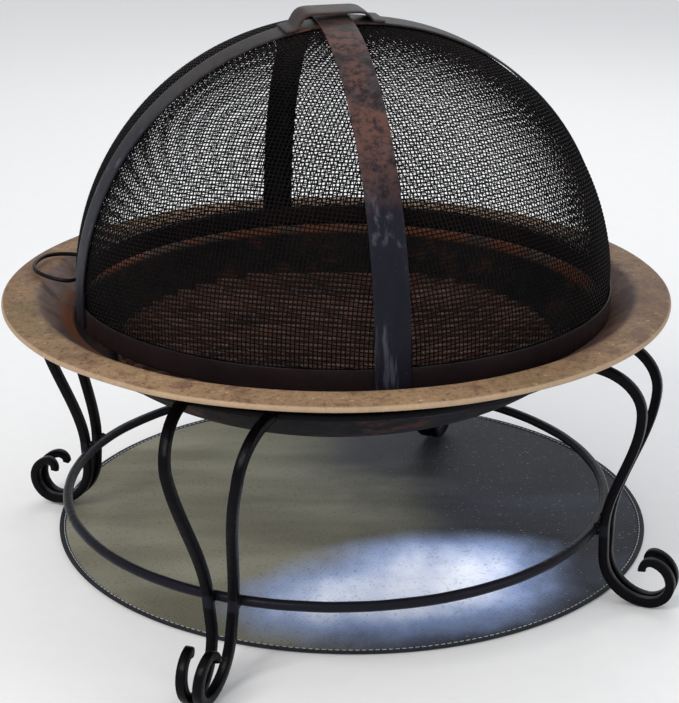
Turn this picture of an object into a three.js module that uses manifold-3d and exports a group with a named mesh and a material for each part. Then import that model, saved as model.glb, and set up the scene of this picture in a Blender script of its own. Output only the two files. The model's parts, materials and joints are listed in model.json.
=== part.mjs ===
// Round garden fire pit: a flanged bowl on a scroll-footed stand, a log grate in the bowl,
// a domed spark screen with a crown grip and a side handle, and a round mat on the ground.
// Millimetres, +Z up. The origin is on the ground, on the bowl's axis. The front faces -Y,
// and an azimuth turns from the front (-Y) towards +X.
import * as THREE from 'three';
import { mergeVertices } from 'three/addons/utils/BufferGeometryUtils.js';
import Module from 'manifold-3d';

const wasm = await Module();
wasm.setup();

// ---- fits ----
const gap = 0.3; // between faces that are welded or rest on each other
const loose = 0.8; // between faceted rings that sit one in another

// ---- bowl ----
const rimRadius = 381; // a bowl 30 in across
const rimHeight = 340; // top of the flange at its outer edge
const flangeWidth = 38.5;
const flangeFall = 2; // the flange slopes down this much towards its edge
const bowlWall = 2.5;
const lipDrop = 7; // the flange's edge is turned down
const lipWidth = 4;
const collarRun = 40.5; // the conical collar inside the flange
const collarDrop = 27;
const bodyDepth = 112; // from the foot of the collar down to the bottom of the inside
const bodyEndAngle = 80; // degrees of the ellipse quarter at which the body meets the collar

// ---- stand ----
const legAzimuth = -21.3; // the first leg; the others follow at quarter turns
const barRadius = 6; // leg bars, centre to corner
const ringBarRadius = 6; // bars of the two hoops, the same stock
const lowerRingInset = 61.5; // from the rim's edge in to the lower hoop's middle line
const lowerRingHeight = 91.4;
const supportAngle = 75; // where round the bowl's body the upper hoop touches it, in degrees
const legShoulder = 10; // how far inside the rim's edge the widest part of a leg stays
const shoulderDrop = 52; // from the upper hoop down to the widest part of a leg
const shoulderSpread = 39; // half the distance between a pair's bars there
const topSpread = 50; // the same, where the bars meet the upper hoop
const waistSpread = 14.5; // and at the lower hoop
const stemCurve = 1.4; // above 1, a pair stays close for longer before it spreads
const sweepShare = 0.6; // of the waist's spread is left where the foot starts to run out
const footSweep = 51; // how far out the foot runs from the waist to the ground
const sweepTuck = 0.8; // the sweep starts this much inside the waist
const footRise = 54; // height over which it does so
const heelLength = 20; // a foot's underside is down at the mat's height this far inside its toe
const scrollRadius = 27;
const hookRadius = 9; // the tight turn at a scroll's tip
const hookTurn = 115; // degrees
const scrollEndAngle = 78; // degrees above level at which the hook starts
const tipSpread = 16; // half the distance between a pair's tips

// ---- mat ----
const matRadius = 368; // a mat about 29 in across
const matThickness = 2;
const hemWidth = 8;
const hemRise = 0.3; // the binding stands this much above the mat, and as much off the ground
const matX = 19.5; // the mat lies a little off centre
const matY = 112;

// ---- grate ----
const grateInset = 48; // from the foot of the bowl's collar in to the hoop's outside
const grateHoop = 10; // square bar of the hoop
const grateBar = 8; // square bars laid across it
const grateBarsAside = 10; // bars on each side of the middle one
const bearerOffset = 105; // the two bearers under the bars, from the centre
const grateOverhang = 2; // the bars end this far inside the hoop's outside
const lastBarOut = 2.6; // the outermost bars' middle lines pass the bearers' ends by this much

// ---- screen ----
const screenShift = 8; // the loose screen sits a little towards +X
const bandSeat = 4; // from the foot of the collar out to the band's outside
const bandHeight = 25;
const strapThickness = 2;
const meshThickness = 2; // woven wire, both wires together
const meshTuck = 20; // how far the mesh and the liner reach down inside the band
const domeRise = 298; // from the band's top up to the crown of the mesh
const ribWidth = 37;
const overRibAzimuth = 12.5;
const overRibOffset = -18; // the ribs pass a little beside the crown, this far sideways
const underRibAzimuth = -74;
const underRibOffset = 18;
const crossingRoom = 0.6; // extra room for the flat rib that crosses over the other
const goreGap = 2; // between two gores of mesh under a rib
const gripHalfLength = 44;
const gripRise = 5; // room for a hook between the grip and the rib that passes under it
const gripFoot = 12;
const gripLean = 8; // a leg leans in this much by half its height
const gripShoulder = 15; // and this much where it rounds into the flat top
const gripWidth = 40;
const gripThickness = 2.5;

// ---- side handle ----
const handleAzimuth = -100;
const handleWire = 5;
const handleReach = 58;
const handleHalfWidth = 48;
const handlePivotHeight = 8.5; // below the band's top
const handleCorner = 12;
const cornerEase = 0.25; // how far a corner's rounding stays from its sharp point
const bowWidths = [0.86, 0.5]; // of the half width, where the bow rounds in
const bowReaches = [0.55, 0.88]; // of the reach, at the same two points
const handleRest = 1; // room under the wire where it lies on the flange
const clipLength = 22;
const clipWall = 2.2;
const bearingRoom = 0.35; // around the wire in its clip

const roundSegments = 48;
const bandSegments = 72;
const meshSegments = 36;
const barSteps = 32;
const archSteps = 48;

const degrees = (d) => THREE.MathUtils.degToRad(d);

// ---- finishes ----
const finish = (color, roughness, metalness) => ({ color, roughness, metalness });
const blackIron = finish(0x17171b, 0.55, 0.7);
const darkStrap = finish(0x35343a, 0.5, 0.75);
const agedCopper = finish(0x7d6048, 0.6, 0.8);
const blackWire = finish(0x141316, 0.6, 0.6);
const castGrey = finish(0x2a2826, 0.75, 0.5);
const silverCloth = finish(0x8f979c, 0.4, 0.5);
const clothBinding = finish(0x1d2024, 0.8, 0.0);

const firePit = new THREE.Group();

function add(name, geometry, look, parent = firePit) {
  const mesh = new THREE.Mesh(geometry, new THREE.MeshStandardMaterial(look));
  mesh.name = name;
  parent.add(mesh);
  return mesh;
}

// Bare positions with shared vertices, faces turned outwards.
function closed(geometry) {
  const bare = geometry.clone();
  bare.deleteAttribute('normal');
  bare.deleteAttribute('uv');
  const merged = mergeVertices(bare, 1e-4);
  const index = merged.index.array;
  const at = merged.attributes.position.array;
  let volume = 0;
  for (let i = 0; i < index.length; i += 3) {
    const [a, b, c] = [index[i] * 3, index[i + 1] * 3, index[i + 2] * 3];
    volume += at[a] * (at[b + 1] * at[c + 2] - at[b + 2] * at[c + 1]);
    volume += at[a + 1] * (at[b + 2] * at[c] - at[b] * at[c + 2]);
    volume += at[a + 2] * (at[b] * at[c + 1] - at[b + 1] * at[c]);
  }
  if (volume < 0) {
    for (let i = 0; i < index.length; i += 3) {
      [index[i], index[i + 1]] = [index[i + 1], index[i]];
    }
  }
  return merged;
}

function toManifold(geometry) {
  const ready = closed(geometry);
  return new wasm.Manifold(new wasm.Mesh({
    numProp: 3,
    vertProperties: new Float32Array(ready.attributes.position.array),
    triVerts: new Uint32Array(ready.index.array),
  }));
}

function fromManifold(body) {
  const mesh = body.getMesh();
  const geometry = new THREE.BufferGeometry();
  geometry.setAttribute('position', new THREE.BufferAttribute(mesh.vertProperties, 3));
  geometry.setIndex(new THREE.BufferAttribute(mesh.triVerts, 1));
  geometry.computeVertexNormals();
  return geometry;
}

// Turns a closed profile of [radius, height] points about the vertical axis.
function turned(profile, segments = roundSegments) {
  const points = profile.map(([r, z]) => new THREE.Vector2(r, z));
  return closed(new THREE.LatheGeometry(points, segments).rotateX(Math.PI / 2));
}

function turnedRing(inner, outer, bottom, top, segments = roundSegments) {
  const corners = [[inner, bottom], [outer, bottom], [outer, top], [inner, top]];
  return turned([...corners, corners[0]], segments);
}

function hoop(radius, height, barSize) {
  const sides = 6;
  const profile = [];
  for (let i = 0; i <= sides; i++) {
    const a = (2 * Math.PI * (i % sides + 0.5)) / sides;
    profile.push([radius + barSize * Math.cos(a), height + barSize * Math.sin(a)]);
  }
  return turned(profile);
}

// Extrudes an outline of [x, z] points by a width along Y, centred on Y = 0.
function flatBar(outline, width) {
  const shape = new THREE.Shape(outline.map(([x, z]) => new THREE.Vector2(x, z)));
  const geometry = new THREE.ExtrudeGeometry(shape, { depth: width, bevelEnabled: false, curveSegments: 1 });
  return closed(geometry.translate(0, 0, -width / 2).rotateX(Math.PI / 2));
}

function tube(points, radius, sides, steps, loop = false) {
  const path = new THREE.CatmullRomCurve3(points, loop, 'centripetal');
  const section = [];
  for (let i = 0; i < sides; i++) {
    const a = (2 * Math.PI * i) / sides;
    section.push(new THREE.Vector2(radius * Math.cos(a), radius * Math.sin(a)));
  }
  const settings = { steps, extrudePath: path, bevelEnabled: false };
  return closed(new THREE.ExtrudeGeometry(new THREE.Shape(section), settings));
}

// ---- bowl ----
const bendRadius = rimRadius - flangeWidth;
const bendHeight = rimHeight + flangeFall;
const collarRadius = bendRadius - collarRun;
const collarHeight = bendHeight - collarDrop;
const bodyHalfWidth = collarRadius / Math.sin(degrees(bodyEndAngle));
const bodyHalfHeight = bodyDepth / (1 - Math.cos(degrees(bodyEndAngle)));
const bodyCentre = collarHeight + bodyHalfHeight * Math.cos(degrees(bodyEndAngle));

// A point of the bowl's round body, moved outwards from the inside face by an offset.
function bodyPoint(angle, offset) {
  const a = degrees(angle);
  const r = bodyHalfWidth * Math.sin(a);
  const z = bodyCentre - bodyHalfHeight * Math.cos(a);
  const normal = new THREE.Vector2(bodyHalfHeight * Math.sin(a), -bodyHalfWidth * Math.cos(a)).normalize();
  return [r + offset * normal.x, z + offset * normal.y];
}

const bodyHeightAt = (r) => bodyCentre - bodyHalfHeight * Math.sqrt(1 - (r / bodyHalfWidth) ** 2);
const collarHeightAt = (r) => collarHeight + ((r - collarRadius) * collarDrop) / collarRun;

function bowl() {
  const steps = 9;
  const inside = [[0, bodyPoint(0, 0)[1]]];
  const outside = [];
  for (let i = 1; i <= steps; i++) {
    inside.push(bodyPoint((bodyEndAngle * i) / steps, 0));
  }
  for (let i = steps; i >= 1; i--) {
    outside.push(bodyPoint((bodyEndAngle * i) / steps, bowlWall));
  }
  const soften = 4; // the bends at the collar's top
  const flange = [
    [bendRadius - soften, bendHeight - (soften * collarDrop) / collarRun],
    [bendRadius + soften, bendHeight - (soften * flangeFall) / flangeWidth],
    [rimRadius - lipWidth, rimHeight],
    [rimRadius - 1, rimHeight - 1],
    [rimRadius, rimHeight - lipDrop / 2],
    [rimRadius - 1, rimHeight - lipDrop],
    [rimRadius - lipWidth, rimHeight - lipDrop],
    [rimRadius - lipWidth, rimHeight - bowlWall],
    [bendRadius + soften, bendHeight - bowlWall - (soften * flangeFall) / flangeWidth],
    [bendRadius - soften + bowlWall / 2, bendHeight - bowlWall - (soften * collarDrop) / collarRun],
  ];
  add('fire_bowl', turned([...inside, ...flange, ...outside, [0, bodyPoint(0, bowlWall)[1]]]), agedCopper);
}

// ---- stand ----
const [upperRingRadius, upperRingHeight] = bodyPoint(supportAngle, bowlWall + loose + ringBarRadius);
const lowerRingRadius = rimRadius - lowerRingInset;
const waistRadius = lowerRingRadius + ringBarRadius + gap + barRadius;
const footRadius = waistRadius + footSweep - sweepTuck; // where a foot touches the ground
const shoulderRadius = rimRadius - legShoulder;
const shoulderHeight = upperRingHeight - shoulderDrop;
const pairSpread = barRadius + gap; // half the distance between two bars lying side by side

// The path of one bar of a leg that stands at azimuth 0; side is -1 or 1.
function legPath(side, lift) {
  const points = [];
  const push = (r, spread, z) => points.push(new THREE.Vector3(side * spread, -r, z));
  const ringEdge = upperRingRadius + ringBarRadius + gap;
  const topRadius = Math.sqrt(ringEdge ** 2 - (topSpread - barRadius) ** 2) + gap;
  for (let i = 5; i >= 1; i--) {
    const a = degrees(18 * i);
    const spread = shoulderSpread + (topSpread - shoulderSpread) * (i / 5);
    const r = topRadius + (shoulderRadius - topRadius) * Math.cos(a);
    push(r, spread, shoulderHeight + (upperRingHeight - shoulderHeight) * Math.sin(a));
  }
  for (let i = 4; i >= 0; i--) {
    const f = i / 4;
    const ease = f * f * (3 - 2 * f);
    const spread = waistSpread + (shoulderSpread - waistSpread) * f ** stemCurve;
    const z = lowerRingHeight + (shoulderHeight - lowerRingHeight) * f;
    push(waistRadius + (shoulderRadius - waistRadius) * ease, spread, z);
  }
  const contact = barRadius + lift;
  for (let i = 0; i <= 3; i++) {
    const a = degrees(30 * i);
    const spread = pairSpread + (waistSpread - pairSpread) * sweepShare * (1 - i / 3);
    push(footRadius - footSweep * Math.cos(a), spread, contact + footRise * (1 - Math.sin(a)));
  }
  const tipTurn = 90 + scrollEndAngle + hookTurn;
  const flare = (turn) => pairSpread + (tipSpread - pairSpread) * (turn / tipTurn);
  const centreHeight = contact + scrollRadius;
  for (let i = 1; i <= 5; i++) {
    const turn = ((90 + scrollEndAngle) * i) / 5;
    const a = degrees(turn - 90);
    push(footRadius + scrollRadius * Math.cos(a), flare(turn), centreHeight + scrollRadius * Math.sin(a));
  }
  const end = degrees(scrollEndAngle);
  const hookX = footRadius + (scrollRadius - hookRadius) * Math.cos(end);
  const hookZ = centreHeight + (scrollRadius - hookRadius) * Math.sin(end);
  for (let i = 1; i <= 3; i++) {
    const turn = (hookTurn * i) / 3;
    const a = end + degrees(turn);
    push(hookX + hookRadius * Math.cos(a), flare(90 + scrollEndAngle + turn), hookZ + hookRadius * Math.sin(a));
  }
  return points;
}

// A foot that reaches over the mat stands on it; any other stands on the ground.
function footLift(azimuth) {
  const a = degrees(azimuth);
  const heel = footRadius - heelLength;
  const away = Math.hypot(heel * Math.sin(a) - matX, -heel * Math.cos(a) - matY);
  return away < matRadius + loose ? matThickness + hemRise + gap : 0;
}

function stand() {
  const names = ['front', 'right', 'back', 'left'];
  names.forEach((name, i) => {
    const azimuth = legAzimuth + 90 * i;
    const leg = new THREE.Group();
    leg.rotation.z = degrees(azimuth);
    firePit.add(leg);
    const lift = footLift(azimuth);
    add(`leg_${name}_bar_a`, tube(legPath(-1, lift), barRadius, 6, barSteps), blackIron, leg);
    add(`leg_${name}_bar_b`, tube(legPath(1, lift), barRadius, 6, barSteps), blackIron, leg);
  });
  add('lower_hoop', hoop(lowerRingRadius, lowerRingHeight, ringBarRadius), blackIron);
  add('upper_hoop', hoop(upperRingRadius, upperRingHeight, ringBarRadius), blackIron);
}

// ---- mat ----
function mat() {
  const place = new THREE.Group();
  place.position.set(matX, matY, 0);
  firePit.add(place);
  const clothRadius = matRadius - hemWidth;
  add('mat', turned([[0, 0], [clothRadius, 0], [clothRadius, matThickness], [0, matThickness]]), silverCloth, place);
  const binding = turnedRing(clothRadius + gap, matRadius, hemRise, matThickness + hemRise);
  add('mat_binding', binding, clothBinding, place);
}

// ---- grate ----
const grateRadius = collarRadius - grateInset;
const hoopBottom = bodyHeightAt(grateRadius) + loose;
const barBottom = hoopBottom + grateHoop + gap;

function straightBar(length, thickness, height) {
  return closed(new THREE.BoxGeometry(length, thickness, height));
}

function grate() {
  const hoopInside = grateRadius - grateHoop;
  add('grate_hoop', turnedRing(hoopInside, grateRadius, hoopBottom, hoopBottom + grateHoop), castGrey);
  const facet = Math.cos(Math.PI / roundSegments); // the hoop's flat sides come in this much
  const reach = hoopInside * facet - gap;
  const bearerHalf = Math.sqrt(reach ** 2 - (bearerOffset + grateBar / 2) ** 2);
  [-1, 1].forEach((side) => {
    const name = side < 0 ? 'grate_bearer_left' : 'grate_bearer_right';
    const bearer = add(name, straightBar(grateBar, 2 * bearerHalf, grateBar), castGrey);
    bearer.position.set(side * bearerOffset, 0, barBottom - gap - grateBar / 2);
  });
  const barReach = grateRadius - grateOverhang;
  const pitch = (bearerHalf + lastBarOut) / grateBarsAside;
  for (let i = -grateBarsAside; i <= grateBarsAside; i++) {
    const y = i * pitch;
    const half = Math.sqrt(barReach ** 2 - (Math.abs(y) + grateBar / 2) ** 2);
    const number = String(i + grateBarsAside + 1).padStart(2, '0');
    const bar = add(`grate_bar_${number}`, straightBar(2 * half, grateBar, grateBar), castGrey);
    bar.position.set(0, y, barBottom + grateBar / 2);
  }
}

// ---- screen ----
const bandOutside = collarRadius + bandSeat;
const bandInside = bandOutside - strapThickness;
const bandBottom = collarHeightAt(bandOutside + screenShift) + loose;
const bandTop = bandBottom + bandHeight;
const meshOutside = bandInside * Math.cos(Math.PI / bandSegments) - gap;
const crownHeight = bandTop + domeRise;

// An arch over the dome: a half-ellipse on two short upright feet.
function archOutline(halfWidth, rise, footBottom, thickness) {
  const outer = [[halfWidth + thickness, footBottom]];
  const inner = [[halfWidth, footBottom]];
  for (let i = 0; i <= archSteps; i++) {
    const a = (Math.PI * i) / archSteps;
    outer.push([(halfWidth + thickness) * Math.cos(a), bandTop + (rise + thickness) * Math.sin(a)]);
    inner.push([halfWidth * Math.cos(a), bandTop + rise * Math.sin(a)]);
  }
  outer.push([-halfWidth - thickness, footBottom]);
  inner.push([-halfWidth, footBottom]);
  return [...outer, ...inner.reverse()];
}

function domeShell() {
  const steps = 12;
  const inside = [];
  const outside = [];
  const bottom = bandTop - meshTuck;
  for (let i = 0; i <= steps; i++) {
    const a = (Math.PI / 2) * (i / steps);
    const r = i === steps ? 0 : Math.cos(a);
    outside.push([meshOutside * r, bandTop + domeRise * Math.sin(a)]);
    inside.push([(meshOutside - meshThickness) * r, bandTop + (domeRise - meshThickness) * Math.sin(a)]);
  }
  const lowered = [[meshOutside - meshThickness, bottom], [meshOutside, bottom]];
  return turned([...inside.reverse(), ...lowered, ...outside], meshSegments);
}

// The ribs' middle planes stand off the dome's centre by their offsets. They meet here, measured
// from that centre.
function ribCrossing() {
  const over = degrees(overRibAzimuth);
  const under = degrees(underRibAzimuth);
  const turn = Math.sin(under - over);
  const x = (overRibOffset * Math.sin(under) - underRibOffset * Math.sin(over)) / turn;
  const y = (underRibOffset * Math.cos(over) - overRibOffset * Math.cos(under)) / turn;
  return new THREE.Vector2(x, y);
}

const crossing = ribCrossing();
const along = (azimuth) => crossing.x * Math.sin(degrees(azimuth)) - crossing.y * Math.cos(degrees(azimuth));
const crossingOnOver = along(overRibAzimuth);
const crossingOnUnder = along(underRibAzimuth);

// An upright wedge between two azimuths from the ribs' crossing, set back from both by half the
// gap between gores.
function wedge(from, to) {
  const far = 2 * rimRadius;
  const middle = degrees((from + to) / 2);
  const half = degrees((to - from) / 2);
  const back = goreGap / 2 / Math.sin(half);
  const corner = (a, d) => new THREE.Vector2(d * Math.sin(a), -d * Math.cos(a));
  const tip = corner(middle, back).add(crossing);
  const sides = [middle - half, middle + half].map((a) => corner(a, far).add(tip));
  const outline = [tip, sides[0], corner(middle, 2 * far), sides[1]];
  const tall = crownHeight + loose;
  return new THREE.ExtrudeGeometry(new THREE.Shape(outline), { depth: tall, bevelEnabled: false });
}

const ribInside = bandOutside + gap;
const underRise = domeRise + gap;
const ribDrop = (x) => underRise * (1 - Math.sqrt(1 - (x / ribInside) ** 2));
const crossingReach = Math.max(Math.abs(crossingOnOver), Math.abs(crossingOnUnder)) + ribWidth / 2;
const overRise = underRise + strapThickness + gap + ribDrop(crossingReach) + crossingRoom;

// The grip's side view. It is drawn from the ribs' crossing, and its feet lie on the lower rib.
function gripOutline() {
  const underTop = underRise + strapThickness;
  const ribOutside = ribInside + strapThickness;
  const spanAt = (x) => bandTop + underTop * Math.sqrt(1 - ((x + crossingOnUnder) / ribOutside) ** 2);
  const top = bandTop + overRise + strapThickness + gripRise;
  const side = (s) => {
    const seat = (x) => [s * x, spanAt(s * x) + 2 * gap];
    const knee = spanAt(s * gripHalfLength) + 3 * gap;
    return [
      seat(gripHalfLength + gripFoot),
      seat(gripHalfLength + (gripFoot * 2) / 3),
      seat(gripHalfLength + gripFoot / 3),
      [s * gripHalfLength, knee],
      [s * (gripHalfLength - gripLean), (knee + top) / 2],
      [s * (gripHalfLength - gripShoulder), top - gripThickness / 2],
      [s * (gripHalfLength - 2 * gripShoulder), top],
    ];
  };
  const under = [...side(1), ...side(-1).reverse()].map(([x, z]) => new THREE.Vector3(x, 0, z));
  const curve = new THREE.CatmullRomCurve3(under, false, 'centripetal');
  const lower = [];
  const upper = [];
  for (let i = 0; i <= archSteps; i++) {
    const p = curve.getPointAt(i / archSteps);
    const t = curve.getTangentAt(i / archSteps);
    lower.push([p.x, p.z]);
    upper.push([p.x + t.z * gripThickness, p.z - t.x * gripThickness]);
  }
  return [...lower, ...upper.reverse()];
}

const screen = new THREE.Group();
screen.position.x = screenShift;

function sparkScreen() {
  firePit.add(screen);
  add('screen_band', turnedRing(bandInside, bandOutside, bandBottom, bandTop, bandSegments), blackIron, screen);
  const linerOutside = (meshOutside - meshThickness) * Math.cos(Math.PI / meshSegments) - gap;
  const linerBottom = bandTop - meshTuck;
  const liner = turnedRing(linerOutside - strapThickness, linerOutside, linerBottom, bandTop, bandSegments);
  add('band_liner', liner, blackIron, screen);
  const rib = (name, azimuth, offset, rise) => {
    const corner = Math.hypot(ribInside + strapThickness, Math.abs(offset) + ribWidth / 2);
    const foot = collarHeightAt(corner + screenShift) + loose;
    const strap = flatBar(archOutline(ribInside, rise, foot, strapThickness), ribWidth);
    const placed = add(name, strap, darkStrap, screen);
    placed.rotation.z = degrees(azimuth - 90);
    placed.position.set(offset * Math.cos(degrees(azimuth)), offset * Math.sin(degrees(azimuth)), 0);
  };
  rib('rib_under', underRibAzimuth, underRibOffset, underRise);
  rib('rib_over', overRibAzimuth, overRibOffset, overRise);
  const grip = add('crown_grip', flatBar(gripOutline(), gripWidth), darkStrap, screen);
  grip.rotation.z = degrees(underRibAzimuth - 90);
  grip.position.set(crossing.x, crossing.y, 0);
  const shell = toManifold(domeShell());
  const under = underRibAzimuth;
  const over = overRibAzimuth;
  const edges = [under, over, under + 180, over + 180, under + 360];
  const names = ['front_left', 'front_right', 'back_right', 'back_left'];
  names.forEach((name, i) => {
    const gore = shell.intersect(toManifold(wedge(edges[i], edges[i + 1])));
    add(`mesh_${name}`, fromManifold(gore), blackWire, screen);
  });
}

// ---- side handle ----
const pivotRadius = bandOutside + clipWall / 2 + gap + handleWire / 2;
const pivotHeight = bandTop - handlePivotHeight;

// How far the pivot lies from the bowl's axis, measured along the handle's own direction.
const pivotFromAxis = pivotRadius + screenShift * Math.sin(degrees(handleAzimuth));
const restRise = bendHeight + gap + handleWire / 2 - pivotHeight;
const handleTilt = Math.atan2(restRise + handleRest, bendRadius - pivotFromAxis);

function sideHandle() {
  const place = new THREE.Group();
  place.rotation.z = degrees(handleAzimuth);
  screen.add(place);
  const swing = new THREE.Group();
  swing.position.set(0, -pivotRadius, pivotHeight);
  swing.rotation.x = -handleTilt;
  place.add(swing);
  const w = handleHalfWidth;
  const d = handleReach;
  const c = handleCorner;
  const straight = [[0, 0], [w - c, 0], [w - c * cornerEase, -c * cornerEase], [w, -c]];
  const bow = [...bowWidths.map((share, i) => [w * share, -d * bowReaches[i]]), [0, -d]];
  const outline = [...straight, ...bow];
  const right = outline.map(([x, y]) => new THREE.Vector3(x, y, 0));
  const left = outline.slice(1, -1).reverse().map(([x, y]) => new THREE.Vector3(-x, y, 0));
  add('side_handle', tube([...right, ...left], handleWire / 2, 6, 40, true), blackIron, swing);
  const bore = handleWire / 2 + bearingRoom;
  const outer = bore + clipWall;
  const block = new THREE.BoxGeometry(clipLength, outer + pivotRadius - bandOutside - gap, 2 * outer);
  const blockBack = (outer - (pivotRadius - bandOutside - gap)) / 2;
  block.translate(0, -blockBack, 0);
  const hole = new THREE.CylinderGeometry(bore, bore, clipLength * 2, 16).rotateZ(Math.PI / 2);
  const clip = add('handle_clip', fromManifold(toManifold(block).subtract(toManifold(hole))), blackIron, place);
  clip.position.set(0, -pivotRadius, pivotHeight);
}

bowl();
stand();
mat();
grate();
sparkScreen();
sideHandle();

export default firePit;
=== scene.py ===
"""Looks for a round garden fire pit: a flanged bowl on a scroll-footed stand, with a log grate,
a domed spark screen and a mat on the ground. Metres, +Z up, the front towards -Y."""
import math

import bpy
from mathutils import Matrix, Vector, noise
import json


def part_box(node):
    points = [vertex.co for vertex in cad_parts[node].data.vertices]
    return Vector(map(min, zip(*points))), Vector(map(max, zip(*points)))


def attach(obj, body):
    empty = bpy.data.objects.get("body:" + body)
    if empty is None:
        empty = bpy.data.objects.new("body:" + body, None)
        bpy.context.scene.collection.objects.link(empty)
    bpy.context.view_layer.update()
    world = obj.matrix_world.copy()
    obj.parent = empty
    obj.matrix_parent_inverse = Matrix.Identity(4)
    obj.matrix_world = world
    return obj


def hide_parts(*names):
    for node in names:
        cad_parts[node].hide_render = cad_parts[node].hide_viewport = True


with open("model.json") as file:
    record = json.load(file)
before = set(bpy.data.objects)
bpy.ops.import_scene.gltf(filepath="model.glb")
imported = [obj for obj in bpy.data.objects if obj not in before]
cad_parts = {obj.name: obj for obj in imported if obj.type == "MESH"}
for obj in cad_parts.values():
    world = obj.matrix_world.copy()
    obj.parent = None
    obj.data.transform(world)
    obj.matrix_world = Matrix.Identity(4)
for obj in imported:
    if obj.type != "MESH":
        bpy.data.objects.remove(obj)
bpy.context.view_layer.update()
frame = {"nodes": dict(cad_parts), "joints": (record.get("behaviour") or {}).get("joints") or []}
MM = 0.001
noise.seed_set(11)  # without a seed, noise_vector differs from run to run


# -------------------------------- places from the frame
def top(node):
    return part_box(node)[1].z


def bottom(node):
    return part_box(node)[0].z


def radius(node):
    low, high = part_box(node)
    return (high.x - low.x) / 2


def centre(node):
    low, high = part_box(node)
    return (low + high) / 2


FIT = 0.3 * MM
RIM_RADIUS = radius("fire_bowl")
FLANGE_WIDTH = 38.5 * MM
FLANGE_FALL = 2 * MM
BEND_RADIUS = RIM_RADIUS - FLANGE_WIDTH
BEND_HEIGHT = top("fire_bowl")
RIM_HEIGHT = BEND_HEIGHT - FLANGE_FALL
COLLAR_RUN = 40.5 * MM
COLLAR_DROP = 27 * MM
COLLAR_RADIUS = BEND_RADIUS - COLLAR_RUN
COLLAR_HEIGHT = BEND_HEIGHT - COLLAR_DROP
BOWL_WALL = 2.5 * MM
BODY_DEPTH = 112 * MM
BODY_SWEEP = 80  # how much of an ellipse the bowl's body takes up, in degrees from its bottom
SCREEN_X = centre("screen_band").x
BAND_RADIUS = radius("screen_band")
BAND_TOP = top("screen_band")
BAND_BOTTOM = bottom("screen_band")
DOME_RISE = 298 * MM
STRAP = 2 * MM
RIB_WIDTH = 37 * MM
OVER_RIB_AZIMUTH = 12.5
OVER_RIB_OFFSET = -18 * MM
UNDER_RIB_AZIMUTH = -74
UNDER_RIB_OFFSET = 18 * MM
LEG_AZIMUTH = -21.3
BAR = 6 * MM  # half a leg bar's width
UPPER_HOOP_RADIUS = radius("upper_hoop")
UPPER_HOOP_HEIGHT = centre("upper_hoop").z
LOWER_HOOP_RADIUS = radius("lower_hoop")
LOWER_HOOP_HEIGHT = centre("lower_hoop").z
HOOP_BAR = 6 * MM  # half the hoops' width
MAT_CENTRE = centre("mat")
MAT_RADIUS = radius("mat_binding")


def outward(azimuth):
    """The level direction at an azimuth, which turns from the front towards +X."""
    a = math.radians(azimuth)
    return Vector((math.sin(a), -math.cos(a), 0))


def sideways(azimuth):
    a = math.radians(azimuth)
    return Vector((math.cos(a), math.sin(a), 0))


def rib_crossing():
    """Where the ribs' middle planes meet, from the dome's centre: each stands off it a little."""
    over, under = sideways(OVER_RIB_AZIMUTH), sideways(UNDER_RIB_AZIMUTH)
    turn = over.x * under.y - over.y * under.x
    return Vector(((OVER_RIB_OFFSET * under.y - UNDER_RIB_OFFSET * over.y) / turn,
                   (UNDER_RIB_OFFSET * over.x - OVER_RIB_OFFSET * under.x) / turn, 0))


CROSSING = rib_crossing()


# -------------------------------- shader maths
class Wire:
    """One value of a shader, which takes part in arithmetic."""

    def __init__(self, tree, out):
        self.tree = tree
        self.out = out

    def maths(self, operation, first, second=0.0, third=None):
        node = self.tree.nodes.new("ShaderNodeMath")
        node.operation = operation
        for i, value in enumerate((first, second, third)):
            if isinstance(value, Wire):
                self.tree.links.new(value.out, node.inputs[i])
            elif value is not None:
                node.inputs[i].default_value = value
        return Wire(self.tree, node.outputs[0])

    def __add__(self, other):
        return self.maths("ADD", self, other)

    def __radd__(self, other):
        return self.maths("ADD", other, self)

    def __sub__(self, other):
        return self.maths("SUBTRACT", self, other)

    def __rsub__(self, other):
        return self.maths("SUBTRACT", other, self)

    def __mul__(self, other):
        return self.maths("MULTIPLY", self, other)

    def __rmul__(self, other):
        return self.maths("MULTIPLY", other, self)

    def __truediv__(self, other):
        return self.maths("DIVIDE", self, other)

    def __pow__(self, other):
        return self.maths("POWER", self, other)

    def clamped(self):
        return self.maths("MAXIMUM", self.maths("MINIMUM", self, 1.0), 0.0)

    def between(self, low, high):
        """0 below low, 1 above high, straight between; high may be the lower one."""
        return ((self - low) / (high - low)).clamped()

    def smooth(self, low, high):
        """As between, but it eases in and out."""
        t = self.between(low, high)
        return t * t * (3.0 - 2.0 * t)

    def sine(self):
        return self.maths("SINE", self, 0.0)

    def apart(self):
        return self.maths("ABSOLUTE", self, 0.0)


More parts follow.
